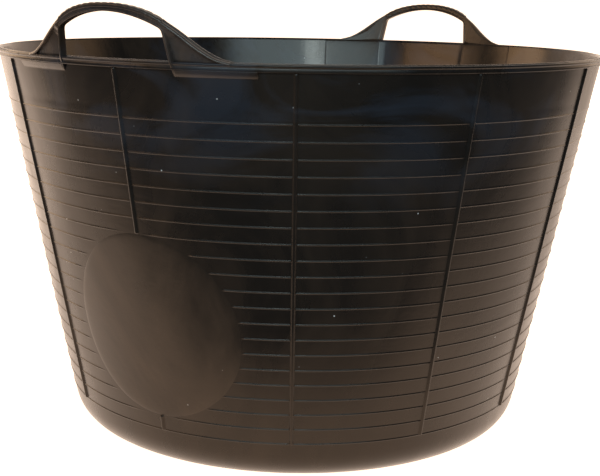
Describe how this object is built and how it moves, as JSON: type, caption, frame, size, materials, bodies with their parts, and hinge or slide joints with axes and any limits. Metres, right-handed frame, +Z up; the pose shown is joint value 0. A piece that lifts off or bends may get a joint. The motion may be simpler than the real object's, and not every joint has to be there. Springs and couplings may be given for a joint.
{
  "type": "mortar mixing tub",
  "caption": "Round flexible mixing tub with tapered ribbed wall, beaded rim and two arched rope-textured handles",
  "frame": {"origin": "middle of the underside, on the ground", "axes": "+Z up through the tub's own axis; +X through the middle of one handle, -X through the other; +Y along the rim between them"},
  "size_m": [0.6154, 0.5966, 0.4149],
  "materials": {
    "tub_plastic": "satin, dusty",
    "handle_plastic": "satin"
  },
  "bodies": {
    "tub": {"base_corner": "tub_plastic", "floor": "tub_plastic", "foot_band_left_a": "tub_plastic", "foot_band_left_b": "tub_plastic", "foot_band_right_a": "tub_plastic", "foot_band_right_b": "tub_plastic", "gusset_left_a": "tub_plastic", "gusset_left_b": "tub_plastic", "gusset_right_a": "tub_plastic", "gusset_right_b": "tub_plastic", "handle_tail_left_a": "tub_plastic", "handle_tail_left_b": "tub_plastic", "handle_tail_right_a": "tub_plastic", "handle_tail_right_b": "tub_plastic", "hoop_ridges_01": "tub_plastic", "hoop_ridges_02": "tub_plastic", "hoop_ridges_03": "tub_plastic", "hoop_ridges_04": "tub_plastic", "hoop_ridges_05": "tub_plastic", "hoop_ridges_06": "tub_plastic", "hoop_ridges_07": "tub_plastic", "hoop_ridges_08": "tub_plastic", "hoop_ridges_09": "tub_plastic", "hoop_ridges_10": "tub_plastic", "hoop_ridges_11": "tub_plastic", "hoop_ridges_12": "tub_plastic", "label_pad": "tub_plastic", "rim_bead": "tub_plastic", "rim_lip": "tub_plastic", "rim_skirt": "tub_plastic", "vertical_rib_01": "tub_plastic", "vertical_rib_02": "tub_plastic", "vertical_rib_03": "tub_plastic", "vertical_rib_04": "tub_plastic", "vertical_rib_05": "tub_plastic", "vertical_rib_06": "tub_plastic", "vertical_rib_07": "tub_plastic", "vertical_rib_08": "tub_plastic", "vertical_rib_09": "tub_plastic", "vertical_rib_10": "tub_plastic", "vertical_rib_11": "tub_plastic", "vertical_rib_12": "tub_plastic", "wall": "tub_plastic"},
    "handle_left": {"handle_left_grip_core": "handle_plastic", "handle_left_grip_strands": "handle_plastic", "handle_left_inner_flange": "handle_plastic", "handle_left_outer_flange": "handle_plastic", "handle_left_web": "handle_plastic"},
    "handle_right": {"handle_right_grip_core": "handle_plastic", "handle_right_grip_strands": "handle_plastic", "handle_right_inner_flange": "handle_plastic", "handle_right_outer_flange": "handle_plastic", "handle_right_web": "handle_plastic"}
  },
  "joints": [
    {"name": "handle_left_flex", "type": "hinge", "parent": "tub", "child": "handle_left", "pos_m": [-0.287, 0, 0.3718], "axis": [0, 1, 0], "range_deg": [-10, 20], "stiffness_Nm_per_rad": 3},
    {"name": "handle_right_flex", "type": "hinge", "parent": "tub", "child": "handle_right", "pos_m": [0.287, 0, 0.3718], "axis": [0, -1, 0], "range_deg": [-10, 20], "stiffness_Nm_per_rad": 3}
  ]
}
